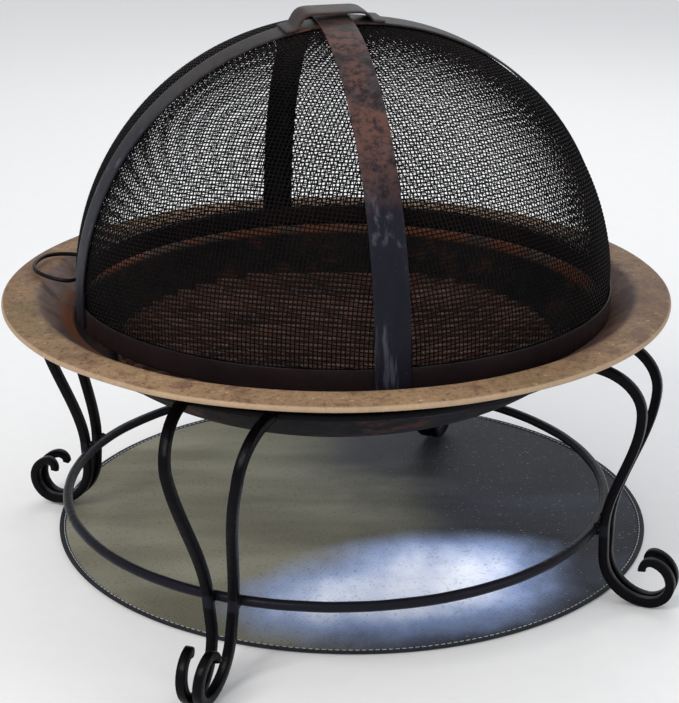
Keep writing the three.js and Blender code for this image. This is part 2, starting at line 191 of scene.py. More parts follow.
class Finish:
    """A material built from nodes round one Principled shader."""

    def __init__(self, name):
        self.material = bpy.data.materials.new(name)
        self.material.use_nodes = True
        self.tree = self.material.node_tree
        self.tree.nodes.clear()
        self.shader = self.tree.nodes.new("ShaderNodeBsdfPrincipled")
        end = self.tree.nodes.new("ShaderNodeOutputMaterial")
        self.tree.links.new(self.shader.outputs[0], end.inputs[0])
        place = self.tree.nodes.new("ShaderNodeTexCoord")
        self.place = Wire(self.tree, place.outputs["Object"])
        parts = self.node("SeparateXYZ", sockets={"Vector": self.place})
        self.x, self.y, self.z = [Wire(self.tree, parts.out.node.outputs[i]) for i in range(3)]

    def node(self, kind, settings=None, sockets=None, out=0):
        """Adds a node: its settings first, then the values or links of its sockets."""
        node = self.tree.nodes.new("ShaderNode" + kind)
        for key, value in (settings or {}).items():
            if key == "stops":
                self.ramp_stops(node.color_ramp, value)
            else:
                setattr(node, key, value)
        for key, value in (sockets or {}).items():
            self.feed(node.inputs[key], value)
        return Wire(self.tree, node.outputs[out])

    @staticmethod
    def ramp_stops(ramp, stops):
        while len(ramp.elements) > 1:
            ramp.elements.remove(ramp.elements[-1])
        for i, (position, colour) in enumerate(stops):
            stop = ramp.elements[0] if i == 0 else ramp.elements.new(position)
            stop.position = position
            stop.color = (*colour, 1.0)

    def feed(self, socket, value):
        if isinstance(value, Wire):
            self.tree.links.new(value.out, socket)
        elif socket.type == "RGBA":
            socket.default_value = (*value, 1.0)
        else:
            socket.default_value = value

    def set(self, **sockets):
        for key, value in sockets.items():
            self.feed(self.shader.inputs[key.replace("_", " ")], value)

    def noise(self, scale, detail=4.0, roughness=0.55, stretch=None, distortion=0.0):
        where = self.place
        if stretch:
            sockets = {"Vector": where, "Scale": stretch}
            where = self.node("Mapping", {"vector_type": "POINT"}, sockets)
        values = {"Vector": where, "Scale": scale, "Detail": detail, "Roughness": roughness,
                  "Distortion": distortion}
        return self.node("TexNoise", None, values)

    def cells(self, scale):
        return self.node("TexVoronoi", {"feature": "F1"}, {"Vector": self.place, "Scale": scale})

    def mix(self, share, first, second):
        node = self.tree.nodes.new("ShaderNodeMix")
        node.data_type = "RGBA"
        sockets = [s for s in node.inputs if s.enabled]
        for socket, value in zip(sockets, (share, first, second)):
            self.feed(socket, value)
        return Wire(self.tree, next(s for s in node.outputs if s.enabled))

    def ramp(self, value, stops):
        return self.node("ValToRGB", {"stops": stops}, {"Fac": value})

    def bump(self, height, distance, strength=1.0, under=None):
        sockets = {"Height": height, "Distance": distance, "Strength": strength}
        if under:
            sockets["Normal"] = under
        return self.node("Bump", None, sockets)

    def from_axis(self, x=0.0, y=0.0):
        """Level distance from an upright axis."""
        return ((self.x - x) ** 2.0 + (self.y - y) ** 2.0) ** 0.5


def aged_copper():
    """Weathered copper-bronze: tan, olive and mauve on the flange, paler at the front as painted
    light and with a painted highlight along the lip, a browner collar that is partly painted shade,
    rust by the screen's band, soot inside the bowl, and near-black painted shade under the flange
    and on the belly."""
    f = Finish("aged_copper")
    broad = f.noise(7.0, 5.0, 0.6, distortion=0.7)
    blotch = f.noise(38.0, 6.0, 0.65)
    grain = f.noise(150.0, 5.0, 0.75)
    speck = f.noise(240.0, 3.0, 0.7)
    reach = f.from_axis()
    tan = f.ramp(broad, [(0.3, (0.13, 0.07, 0.038)), (0.43, (0.19, 0.108, 0.056)),
                         (0.55, (0.26, 0.155, 0.082)), (0.68, (0.165, 0.118, 0.05))])
    # painted light: the flange turns paler towards the front, where light falls on it
    front_lit = f.mix((f.x * -0.25 - f.y).smooth(0.2, 0.38) * 0.5, tan, (0.46, 0.3, 0.165))
    mauve = f.mix(blotch.smooth(0.5, 0.66) * 0.75, front_lit, (0.14, 0.07, 0.052))
    pale = f.mix(blotch.smooth(0.42, 0.3) * 0.55, mauve, (0.4, 0.27, 0.155))
    grained = f.mix(grain.smooth(0.48, 0.66) * 0.6, pale, (0.085, 0.046, 0.028))
    spots = speck.smooth(0.6, 0.67) * blotch.smooth(0.42, 0.54)
    spotted = f.mix(spots * 0.9, grained, (0.035, 0.018, 0.013))
    chips = speck.smooth(0.37, 0.31) * blotch.smooth(0.54, 0.46)
    chipped = f.mix(chips * 0.75, spotted, (0.7, 0.56, 0.4))
    # painted highlight: a paler line along the rolled lip
    lip = reach.smooth(RIM_RADIUS - 3.0 * MM, RIM_RADIUS - 0.8 * MM)
    lip_highlit = f.mix(lip * (0.35 + grain * 0.4), chipped, (0.5, 0.37, 0.25))
    ragged = (blotch - 0.5) * 9.0 * MM + (broad - 0.5) * 14.0 * MM
    inner = (reach + ragged).smooth(BEND_RADIUS + 1.5 * MM, BEND_RADIUS - 6.0 * MM)
    # the collar's darker mauve-brown is partly patina and partly painted shade on its sloping face
    patchy_tone = f.mix(blotch.smooth(0.36, 0.64), (0.075, 0.05, 0.043), (0.165, 0.095, 0.072))
    at_foot = (reach + ragged).smooth(COLLAR_RADIUS + 20.0 * MM, COLLAR_RADIUS + 8.0 * MM)
    ember = f.mix(at_foot * broad.smooth(0.42, 0.54), patchy_tone, (0.2, 0.06, 0.022))
    collar = f.mix(inner, lip_highlit, ember)
    # inside the bowl (body) the near-black is soot; under the flange (below) and over the lower
    # belly (outer) it is painted shade
    body = (reach + ragged * 0.3).smooth(COLLAR_RADIUS + 4.0 * MM, COLLAR_RADIUS - 1.0 * MM)
    below = (f.z.smooth(RIM_HEIGHT - 5.0 * MM, RIM_HEIGHT - 9.0 * MM)
             * reach.smooth(BEND_RADIUS - 2.0 * MM, BEND_RADIUS + 2.0 * MM))
    outer = f.z.smooth(COLLAR_HEIGHT + 2.0 * MM, COLLAR_HEIGHT - 4.0 * MM)
    dark = body.maths("MAXIMUM", below).maths("MAXIMUM", outer)
    # near-black: soot inside the bowl, painted shade under the flange and on the belly
    soot_and_shade_black = f.mix(blotch.smooth(0.35, 0.7), (0.002, 0.0018, 0.0025), (0.011, 0.009, 0.0095))
    rusting = blotch.smooth(0.5, 0.6) * broad.smooth(0.45, 0.55) * 0.7
    sooted_and_shaded = f.mix(dark, collar, f.mix(rusting, soot_and_shade_black, (0.06, 0.017, 0.008)))
    rough = 0.44 + grain * 0.2 + dark * 0.12 + spots * 0.15
    pits = f.bump(grain, 0.35 * MM, 0.45, f.bump(speck, 0.3 * MM, 0.6))
    dents = f.bump(broad, 2.4 * MM, 0.5, pits)
    f.set(Base_Color=sooted_and_shaded, Roughness=rough, Metallic=0.08 - dark * 0.08, Normal=dents,
          Specular_IOR_Level=0.16)
    return f.material


def black_iron():
    """Satin black paint over hammered iron, with worn grit. The heat has browned the band, and a
    bluish painted highlight lies on the lower hoop and on the legs at its height."""
    f = Finish("black_iron")
    broad = f.noise(22.0, 4.0)
    hammer = f.cells(120.0)
    grit = f.noise(520.0, 3.0, 0.7)
    black = f.mix(broad, (0.0008, 0.0007, 0.0014), (0.0025, 0.002, 0.0034))
    at_band = f.z.smooth(BAND_BOTTOM - 3.0 * MM, BAND_BOTTOM + 4.0 * MM)
    baked = f.mix(at_band * (0.4 + broad * 0.8), black, (0.017, 0.0105, 0.0115))
    # painted highlight: a bluish sheen at the lower hoop's height, on the hoop and the legs
    hoop_highlight_band = (f.z - LOWER_HOOP_HEIGHT).apart().smooth(9.0 * MM, 5.0 * MM)
    hoop_highlit = f.mix(hoop_highlight_band * 0.8, baked, (0.011, 0.0115, 0.017))
    patchy_tone = f.mix(grit.smooth(0.64, 0.74) * 0.4, hoop_highlit, (0.03, 0.028, 0.032))
    rusting = grit.smooth(0.4, 0.3) * broad.smooth(0.56, 0.68) * 0.5
    rusty = f.mix(rusting, patchy_tone, (0.025, 0.009, 0.005))
    hammered = f.bump(hammer, 0.8 * MM, 0.4, f.bump(grit, 0.12 * MM, 0.5))
    f.set(Base_Color=rusty, Roughness=0.2 + broad * 0.22, Metallic=0.0, Normal=hammered,
          Specular_IOR_Level=0.07)
    return f.material


def dark_strap():
    """Flat ribs: blue-black towards the band, smoked grey higher up, and brown and rusty at the
    front, where the fire scorched them."""
    f = Finish("dark_strap")
    broad = f.noise(13.0, 5.0, 0.6, (1.0, 1.0, 0.45))
    streak = f.noise(70.0, 4.0, 0.6, (1.0, 1.0, 0.1))
    mottle = f.noise(95.0, 6.0, 0.72)
    grit = f.noise(420.0, 3.0, 0.7)
    heat = (f.z + (broad - 0.5) * 0.1).smooth(BAND_TOP + 0.15, BAND_TOP + 0.25)
    scorched = (f.y + f.x * 0.35).smooth(0.01, -0.04) * f.x.smooth(-0.06, -0.03)
    blue = f.mix(streak, (0.003, 0.003, 0.006), (0.012, 0.012, 0.021))
    brown = f.mix(mottle.smooth(0.35, 0.65), (0.02, 0.015, 0.017), (0.065, 0.05, 0.052))
    smoked = f.mix(mottle.smooth(0.35, 0.65), (0.016, 0.0155, 0.018), (0.034, 0.033, 0.036))
    steel = f.mix(heat, blue, f.mix(scorched, smoked, brown))
    crown = f.z.smooth(BAND_TOP + 0.29, BAND_TOP + 0.304)
    grey = f.mix(crown, steel, (0.025, 0.021, 0.023))
    rusting = broad.smooth(0.41, 0.54) * heat * (1.0 - crown * 0.6) * mottle.smooth(0.38, 0.56)
    rusted = f.mix(rusting * (0.12 + scorched * 0.88) * 0.65, grey, (0.145, 0.06, 0.04))
    pale = streak.smooth(0.58, 0.7) * (1.0 - heat)
    streaked = f.mix(pale * 0.5, rusted, (0.09, 0.095, 0.12))
    flecked = f.mix(grit.smooth(0.66, 0.76) * 0.5, streaked, (0.16, 0.13, 0.12))
    pitted = f.bump(mottle, 0.3 * MM, 0.5, f.bump(grit, 0.12 * MM, 0.6))
    f.set(Base_Color=flecked, Roughness=0.36 + mottle * 0.28, Metallic=0.0, Specular_IOR_Level=0.12,
          Normal=f.bump(broad, 1.2 * MM, 0.4, pitted))
    return f.material


def black_wire():
    """Blackened woven wire, browned by the fire in places."""
    f = Finish("black_wire")
    broad = f.noise(9.0, 4.0)
    grit = f.noise(700.0, 2.0)
    black = f.mix(broad, (0.0009, 0.0009, 0.0013), (0.0045, 0.0032, 0.0032))
    heated = grit.smooth(0.5, 0.7) * broad.smooth(0.45, 0.6) * 0.5
    browned = f.mix(heated, black, (0.03, 0.014, 0.009))
    f.set(Base_Color=browned, Roughness=0.4 + grit * 0.25, Metallic=0.0, Specular_IOR_Level=0.07,
          Normal=f.bump(grit, 0.08 * MM, 0.6))
    return f.material


def grate_steel():
    """Burnt matt bars with flakes of ash and rust."""
    f = Finish("grate_steel")
    broad = f.noise(16.0, 5.0, 0.65)
    scale = f.noise(150.0, 5.0, 0.7)
    burnt = f.ramp(broad, [(0.32, (0.03, 0.017, 0.014)), (0.5, (0.085, 0.04, 0.028)),
                           (0.68, (0.17, 0.085, 0.055))])
    ash = f.mix(scale.smooth(0.54, 0.66) * 0.5, burnt, (0.3, 0.24, 0.2))
    rusty = f.mix(scale.smooth(0.46, 0.36) * 0.7, ash, (0.13, 0.034, 0.014))
    f.set(Base_Color=rusty, Roughness=0.68 + scale * 0.2, Metallic=0.1, Specular_IOR_Level=0.3,
          Normal=f.bump(scale, 0.5 * MM, 0.7))
    return f.material


def silver_cloth():
    """Silvered glass cloth: a fine plain weave with soft wrinkles, olive on one side and blue-black
    on the other as painted reflection, darkened at the back as painted shade, and with a painted
    highlight patch near the front and painted glints."""
    f = Finish("silver_cloth")
    turn = math.tau / (4.2 * MM)
    slant = 0.35
    warp = ((f.x + f.y * slant) * turn).sine()
    weft = ((f.y - f.x * slant) * turn).sine()
    weave = warp * weft
    threads = (warp.apart() + weft.apart()) * 0.5
    cloud = f.noise(4.0, 4.0, 0.55, distortion=0.5)
    band = f.noise(3.0, 3.0, 0.5, (0.6, 2.6, 1.0))
    crease = f.noise(12.0, 5.0, 0.6, (1.0, 0.5, 1.0))
    fleck = f.noise(300.0, 2.0)
    # painted reflection: olive on the left and blue-black on the right (across), as the silvered
    # cloth mirrors its surroundings
    across = (f.x + (cloud - 0.5) * 0.3 - f.y * 0.15).smooth(-0.05, 0.14)
    # painted shade: the back of the mat darkens towards black under the bowl
    back = (f.y + (cloud - 0.5) * 0.3).smooth(0.12, 0.3) * f.x.smooth(-0.1, 0.05)
    olive = f.mix(band.smooth(0.35, 0.65), (0.135, 0.122, 0.062), (0.28, 0.265, 0.18))
    navy = f.mix(band.smooth(0.4, 0.7), (0.004, 0.0045, 0.009), (0.03, 0.035, 0.06))
    reflection_and_shade_tone = f.mix(back, f.mix(across, olive, navy), (0.005, 0.005, 0.007))
    # painted highlight: a bright blue-white patch near the front, with the weave showing in it
    shine_x = (f.x - f.y * 0.43 - 0.1275) / 0.14
    shine_y = (f.y + 0.1) / 0.1
    spread = (shine_x * shine_x + shine_y * shine_y) + (cloud - 0.5) * 1.8
    uneven = spread + (band - 0.5) * 1.2 + (crease - 0.5) * 1.2
    highlight_patch = uneven.smooth(2.4, 0.2)
    thread = weave.smooth(-0.4, 0.8)
    shine = f.mix(uneven.smooth(1.2, 0.2), f.mix(thread, (0.22, 0.37, 0.82), (0.62, 0.74, 1.0)),
                  f.mix(thread, (0.75, 0.82, 1.0), (1.0, 1.0, 1.0)))
    highlighted = f.mix(highlight_patch, reflection_and_shade_tone, shine)
    woven = f.mix(weave.smooth(-0.3, 0.9) * (0.4 - across * 0.25), highlighted,
                  f.mix(0.65, highlighted, (0.45, 0.5, 0.6)))
    dull = f.mix(fleck.smooth(0.56, 0.7) * 0.35, woven, (0.03, 0.033, 0.04))
    glint = f.mix(fleck.smooth(0.33, 0.27) * across * 0.45, dull, (0.45, 0.52, 0.66))
    height = weave * 0.5 + threads * 0.4
    wrinkled = f.bump(crease, 3.5 * MM, 0.35, f.bump(height, 0.25 * MM, 0.6))
    rough = 0.4 + cloud * 0.16 + threads * 0.08 - highlight_patch * 0.2
    f.set(Base_Color=glint, Roughness=rough, Metallic=0.08 + highlight_patch * 0.85, Specular_IOR_Level=0.1,
          Normal=wrinkled)
    return f.material


def cloth_binding():
    """Dark ribbed tape folded over the mat's edge."""
    f = Finish("cloth_binding")
    reach = f.from_axis(MAT_CENTRE.x, MAT_CENTRE.y)
    ahead = f.y - MAT_CENTRE.y
    around = ahead.maths("ARCTAN2", ahead, f.x - MAT_CENTRE.x)
    ribs = (around * round(math.tau * MAT_RADIUS / (3.0 * MM))).sine()
    lines = (reach * (math.tau / (2.0 * MM))).sine()
    tape = f.noise(90.0, 4.0)
    dark = f.mix(tape, (0.006, 0.007, 0.01), (0.02, 0.024, 0.03))
    ribbed = f.mix((ribs * lines).smooth(0.0, 0.9) * 0.5, dark, (0.05, 0.058, 0.075))
    f.set(Base_Color=ribbed, Roughness=0.7, Specular_IOR_Level=0.2,
          Normal=f.bump(ribs * lines, 0.3 * MM, 0.7))
    return f.material


def thread_white():
    """Pale twisted thread of the binding's stitches."""
    f = Finish("binding_thread")
    twist = f.noise(900.0, 2.0)
    f.set(Base_Color=f.mix(twist, (0.42, 0.44, 0.47), (0.7, 0.72, 0.74)), Roughness=0.6,
          Normal=f.bump(twist, 0.1 * MM, 0.6))
    return f.material


MATERIALS = {
    "aged_copper": aged_copper(),
    "black_iron": black_iron(),
    "dark_strap": dark_strap(),
    "black_wire": black_wire(),
    "grate_steel": grate_steel(),
    "silver_cloth": silver_cloth(),
    "cloth_binding": cloth_binding(),
}
THREAD = thread_white()


# -------------------------------- bench tools
def clear_selection():
    for thing in bpy.context.selected_objects:
        thing.select_set(False)
    bpy.context.view_layer.objects.active = None


def take(thing):
    clear_selection()
    thing.select_set(True)
    bpy.context.view_layer.objects.active = thing


def edit(thing):
    take(thing)
    bpy.ops.object.mode_set(mode="EDIT")
    bpy.ops.mesh.select_all(action="SELECT")


def leave_edit():
    bpy.ops.object.mode_set(mode="OBJECT")


def close_seams():
    """Merges the corners that meet, turns the faces outwards and leaves edit mode."""
    bpy.ops.mesh.remove_doubles(threshold=1e-6)
    bpy.ops.mesh.normals_make_consistent(inside=False)
    leave_edit()


def apply_modifier(thing, kind, **settings):
    take(thing)
    modifier = thing.modifiers.new(kind.lower(), kind)
    for key, value in settings.items():
        setattr(modifier, key, value)
    bpy.ops.object.modifier_apply(modifier=modifier.name)


def apply_place():
    """Bakes the active piece's place, turn and scale into its mesh."""
    bpy.ops.object.transform_apply(location=True, rotation=True, scale=True)


def turn_about_axis(thing, azimuth, place=(0, 0, 0)):
    """Turns a piece about its upright axis, moves it and bakes that into its mesh."""
    take(thing)
    thing.rotation_euler = (0, 0, math.radians(azimuth))
    thing.location = place
    apply_place()


def drawn_line(name, points):
    """Draws a line of edges by extruding one corner from point to point."""
    clear_selection()
    bpy.ops.mesh.primitive_plane_add(size=0.01)
    line = bpy.context.active_object
    line.name = line.data.name = name
    bpy.ops.object.mode_set(mode="EDIT")
    bpy.ops.mesh.select_all(action="SELECT")
    bpy.ops.mesh.merge(type="CENTER")
    here = Vector((0, 0, 0))
    for i, point in enumerate(points):
        step = Vector(point) - here
        if i == 0:
            bpy.ops.transform.translate(value=step)
        else:
            bpy.ops.mesh.extrude_region_move(TRANSFORM_OT_translate={"value": step})
        here = Vector(point)
    return line


def spun(name, profile, steps, axis_x=0.0):
    """Spins a drawn profile of (radius, height) about an upright axis and closes its seam."""
    thing = drawn_line(name, [(axis_x + r, 0, z) for r, z in profile])
    bpy.ops.mesh.select_all(action="SELECT")
    bpy.ops.mesh.spin(steps=steps, angle=math.tau, center=(axis_x, 0, 0), axis=(0, 0, 1))
    bpy.ops.mesh.select_all(action="SELECT")
    close_seams()
    return thing


def smooth(thing, angle=35):
    take(thing)
    bpy.ops.object.shade_smooth_by_angle(angle=math.radians(angle))


def finished(thing, body, slot, *nodes, material=None, angle=35):
    """Gives a piece its finish, the body it moves with and the CAD nodes it stands for."""
    thing.data.materials.clear()
    thing.data.materials.append(material or MATERIALS[slot])
    smooth(thing, angle)
    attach(thing, body)
    if nodes:
        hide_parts(*nodes)
    return thing


def joined(things, name):
    clear_selection()
    for thing in things:
        thing.select_set(True)
    bpy.context.view_layer.objects.active = things[0]
    bpy.ops.object.join()
    things[0].name = things[0].data.name = name
    return things[0]


def rounded_box(width, height, corner, steps=3):
    """A closed (across, up) outline with rounded corners, round its own middle."""
    outline = []
    centres = [(1, 1, 0), (-1, 1, 90), (-1, -1, 180), (1, -1, 270)]
    for sx, sz, start in centres:
        cx = sx * (width / 2 - corner)
        cz = sz * (height / 2 - corner)
        for i in range(steps + 1):
            a = math.radians(start + 90 * i / steps)
            outline.append((cx + corner * math.cos(a), cz + corner * math.sin(a)))
    return outline + outline[:1]


def ring_of(name, inner, outer, low, high, corner, steps, axis_x=0.0):
    """A closed ring of flat stock with eased edges."""
    across, up = (inner + outer) / 2, (low + high) / 2
    outline = rounded_box(outer - inner, high - low, corner)
    return spun(name, [(across + r, up + z) for r, z in outline], steps, axis_x)


def swept(name, points, section, closed=False, radii=None):
    """Bends a bar of the given section along points, drawn flat, and makes it a mesh."""
    clear_selection()
    bpy.ops.curve.primitive_nurbs_path_add()
    bar = bpy.context.active_object
    bar.name = bar.data.name = name
    curve = bar.data
    curve.splines.clear()
    line = curve.splines.new("POLY")
    line.points.add(len(points) - 1)
    for i, point in enumerate(points):
        line.points[i].co = (*point, 1.0)
        line.points[i].radius = radii[i] if radii else 1.0
    line.use_cyclic_u = closed
    curve.dimensions = "3D"
    curve.twist_mode = "Z_UP"
    outline = bpy.data.curves.new(name + "_section", "CURVE")
    edge = outline.splines.new("POLY")
    edge.points.add(len(section) - 2)
    for i, (x, y) in enumerate(section[:-1]):
        edge.points[i].co = (x, y, 0, 1)
    edge.use_cyclic_u = True
    former = bpy.data.objects.new(name + "_section", outline)
    bpy.context.collection.objects.link(former)
    curve.bevel_mode = "OBJECT"
    curve.bevel_object = former
    curve.use_fill_caps = not closed
    take(bar)
    bpy.ops.object.convert(target="MESH")
    bpy.data.objects.remove(former)
    edit(bar)
    close_seams()
    return bar


def weld_bead(place, size, seed):
    """A small uneven lump of weld."""
    clear_selection()
    bpy.ops.mesh.primitive_ico_sphere_add(subdivisions=2, radius=size, location=place)
    bead = bpy.context.active_object
    bead.scale = (1.0, 1.0, 0.7)
    apply_place()
    edit(bead)
    bpy.ops.transform.vertex_random(offset=size * 0.12, seed=seed)
    leave_edit()
    return bead


# -------------------------------- bowl
def bowl_profile():
    """The bowl's closed section: up the inside, over the flange, round the lip and back."""
    end = math.radians(BODY_SWEEP)
    half_width = COLLAR_RADIUS / math.sin(end)
    half_height = BODY_DEPTH / (1 - math.cos(end))
    middle = COLLAR_HEIGHT + half_height * math.cos(end)

    def body(angle, out):
        level, up = half_height * math.sin(angle), -half_width * math.cos(angle)
        length = math.hypot(level, up)
        return (half_width * math.sin(angle) + out * level / length,
                middle - half_height * math.cos(angle) + out * up / length)

    steps = 26
    inside = [(0, body(0, 0)[1])] + [body(end * i / steps, 0) for i in range(1, steps + 1)]
    outside = [body(end * i / steps, BOWL_WALL) for i in range(steps, 0, -1)]
    soft = 5 * MM
    slope = COLLAR_DROP / COLLAR_RUN
    fall = FLANGE_FALL / FLANGE_WIDTH

    def flange(reach, below):
        """Height over the bend, rounded where the collar turns into the flange."""
        run = reach - BEND_RADIUS
        if run <= -soft:
            return BEND_HEIGHT + run * slope - below
        if run >= soft:
            return BEND_HEIGHT - run * fall - below
        t = (run + soft) / (2 * soft)
        start, stop = -soft * slope, -soft * fall
        turn = start + (stop - start) * (1 - (1 - t) ** 2)
        return BEND_HEIGHT + turn - below

    lip = 3.4 * MM
    runs = [-30, -20, -12, -5, -3, -1, 1, 3, 5, 12, 22, 30]
    upper = [(BEND_RADIUS + r * MM, flange(BEND_RADIUS + r * MM, 0)) for r in runs]
    under = [(BEND_RADIUS + r * MM, flange(BEND_RADIUS + r * MM, BOWL_WALL)) for r in runs[::-1]]
    roll = []
    for i in range(9):
        a = math.radians(100 - 190 * i / 8)
        roll.append((RIM_RADIUS - lip + lip * math.cos(a), RIM_HEIGHT - lip + lip * math.sin(a)))
    hem = [(RIM_RADIUS - lip - 0.6 * MM, RIM_HEIGHT - 2 * lip + 0.8 * MM),
           (RIM_RADIUS - lip - 0.8 * MM, RIM_HEIGHT - BOWL_WALL - 0.6 * MM)]
    return inside + upper + roll + hem + under + outside + [(0, body(0, BOWL_WALL)[1])]


def make_bowl():
    """The pressed bowl, with a flange that waves a little."""
    bowl = spun("bowl_shell", bowl_profile(), 160)
    for vertex in bowl.data.vertices:
        reach = math.hypot(vertex.co.x, vertex.co.y)
        share = max(0.0, (reach - COLLAR_RADIUS) / (RIM_RADIUS - COLLAR_RADIUS))
        wave = noise.noise(Vector((vertex.co.x, vertex.co.y, 0)) * 9.0)
        vertex.co.z += share * wave * 1.1 * MM
    finished(bowl, "bowl", "aged_copper", "fire_bowl")


# -------------------------------- stand
LEG_SHOULDER = RIM_RADIUS - 10 * MM
SHOULDER_DROP = 52 * MM
FOOT_RADIUS = 382 * MM
FOOT_SWEEP = 51 * MM
FOOT_RISE = 54 * MM
SCROLL = 27 * MM
HOOK = 9 * MM
HOOK_TURN = 115
SCROLL_END = 78
PAIR = BAR + FIT  # half the distance between the two bars of a leg where they touch
BAR_STOCK = 10.6 * MM
WELD = 4.2 * MM
SPREADS = {"top": 50 * MM, "shoulder": 39 * MM, "waist": 14.5 * MM, "tip": 16 * MM}


def leg_route(side, lift):
    """The middle line of one leg bar, drawn flat: across is outward, up is height, and the
    third value is its sideways spread."""
    route = []
    edge = UPPER_HOOP_RADIUS + FIT
    end = math.sqrt(edge ** 2 - (SPREADS["top"] - BAR) ** 2) + FIT
    shoulder_z = UPPER_HOOP_HEIGHT - SHOULDER_DROP
    waist = LOWER_HOOP_RADIUS + FIT + BAR

    def put(r, z, spread):
        route.append(Vector((r, z, side * spread)))

    for i in range(14, 0, -1):
        a = math.radians(90 * i / 14)
        spread = SPREADS["shoulder"] + (SPREADS["top"] - SPREADS["shoulder"]) * i / 14
        rise = UPPER_HOOP_HEIGHT - shoulder_z
        put(end + (LEG_SHOULDER - end) * math.cos(a), shoulder_z + rise * math.sin(a), spread)
    for i in range(20, -1, -1):
        f = i / 20
        spread = SPREADS["waist"] + (SPREADS["shoulder"] - SPREADS["waist"]) * f ** 1.4
        ease = f * f * (3 - 2 * f)
        height = LOWER_HOOP_HEIGHT + (shoulder_z - LOWER_HOOP_HEIGHT) * f
        put(waist + (LEG_SHOULDER - waist) * ease, height, spread)
    contact = BAR + lift
    for i in range(0, 13):
        a = math.radians(90 * i / 12)
        spread = PAIR + (SPREADS["waist"] - PAIR) * 0.6 * (1 - i / 12)
        put(FOOT_RADIUS - FOOT_SWEEP * math.cos(a), contact + FOOT_RISE * (1 - math.sin(a)), spread)
    whole = 90 + SCROLL_END + HOOK_TURN
    middle = contact + SCROLL
    for i in range(1, 19):
        turn = (90 + SCROLL_END) * i / 18
        a = math.radians(turn - 90)
        spread = PAIR + (SPREADS["tip"] - PAIR) * turn / whole
        put(FOOT_RADIUS + SCROLL * math.cos(a), middle + SCROLL * math.sin(a), spread)
    last = math.radians(SCROLL_END)
    hook_r = FOOT_RADIUS + (SCROLL - HOOK) * math.cos(last)
    hook_z = middle + (SCROLL - HOOK) * math.sin(last)
    for i in range(1, 9):
        turn = HOOK_TURN * i / 8
        a = last + math.radians(turn)
        spread = PAIR + (SPREADS["tip"] - PAIR) * (90 + SCROLL_END + turn) / whole
        put(hook_r + HOOK * math.cos(a), hook_z + HOOK * math.sin(a), spread)
    return route


def make_leg_bar(name, azimuth, side):
    """Bends, tapers and stands up one bar of a leg."""
    letter = "a" if side < 0 else "b"
    node = f"leg_{name}_bar_{letter}"
    lift = max(0.0, bottom(node))
    lift = lift if lift > 1.5 * MM else 0.0  # two feet stand on the mat
    route = leg_route(side, lift)
    taper = 16
    radii = [1.0] * (len(route) - taper) + [1.0 - 0.22 * i / taper for i in range(taper)]
    section = rounded_box(BAR_STOCK, BAR_STOCK, 1.6 * MM, 2)
    bar = swept(f"forged_{name}_bar_{letter}", route, section, radii=radii)
    # stand the flat drawing up: outward to -Y, height to +Z, spread to +X
    for vertex in bar.data.vertices:
        r, z, spread = vertex.co
        vertex.co = (spread, -r, z)
    edit(bar)
    bpy.ops.mesh.normals_make_consistent(inside=False)
    leave_edit()
    turn_about_axis(bar, azimuth)
    finished(bar, "stand", "black_iron", node)


def make_hoop(name, node, ring_radius, height, spread):
    """A round hoop with beads of weld where each leg bar meets it."""
    clear_selection()
    bpy.ops.mesh.primitive_torus_add(major_radius=ring_radius, minor_radius=HOOP_BAR * 0.96,
                                     major_segments=176, minor_segments=12, location=(0, 0, height))
    hoop = bpy.context.active_object
    apply_place()
    for vertex in hoop.data.vertices:
        vertex.co += noise.noise_vector(vertex.co * 30.0) * 0.35 * MM
    beads = []
    for leg in range(4):
        for side in (-1, 1):
            azimuth = LEG_AZIMUTH + 90 * leg
            place = outward(azimuth) * (ring_radius + HOOP_BAR * 0.7)
            place += sideways(azimuth) * side * spread
            place.z = height
            for up in (-1, 1):
                spot = place + Vector((0, 0, up * HOOP_BAR * 0.85))
                beads.append(weld_bead(spot, WELD, 10 * leg + 3 * side + up + 20))
    finished(joined([hoop, *beads], name), "stand", "black_iron", node)


def make_stand():
    for i, name in enumerate(("front", "right", "back", "left")):
        for side in (-1, 1):
            make_leg_bar(name, LEG_AZIMUTH + 90 * i, side)
    make_hoop("lower_hoop_bar", "lower_hoop", LOWER_HOOP_RADIUS - HOOP_BAR, LOWER_HOOP_HEIGHT,
              SPREADS["waist"])
    make_hoop("upper_hoop_bar", "upper_hoop", UPPER_HOOP_RADIUS - HOOP_BAR, UPPER_HOOP_HEIGHT,
              SPREADS["top"])


# -------------------------------- mat
HEM_WIDTH = 8 * MM
CLOTH_RADIUS = MAT_RADIUS - HEM_WIDTH + 1.5 * MM
STITCHES = 310


def mat_height(x, y):
    """Soft unevenness of cloth lying on the ground."""
    low = noise.noise(Vector((x * 6.0, y * 6.0, 1.7)))
    fine = noise.noise(Vector((x * 19.0, y * 11.0, 5.2)))
    return (0.9 + 0.5 * low + 0.25 * fine) * MM


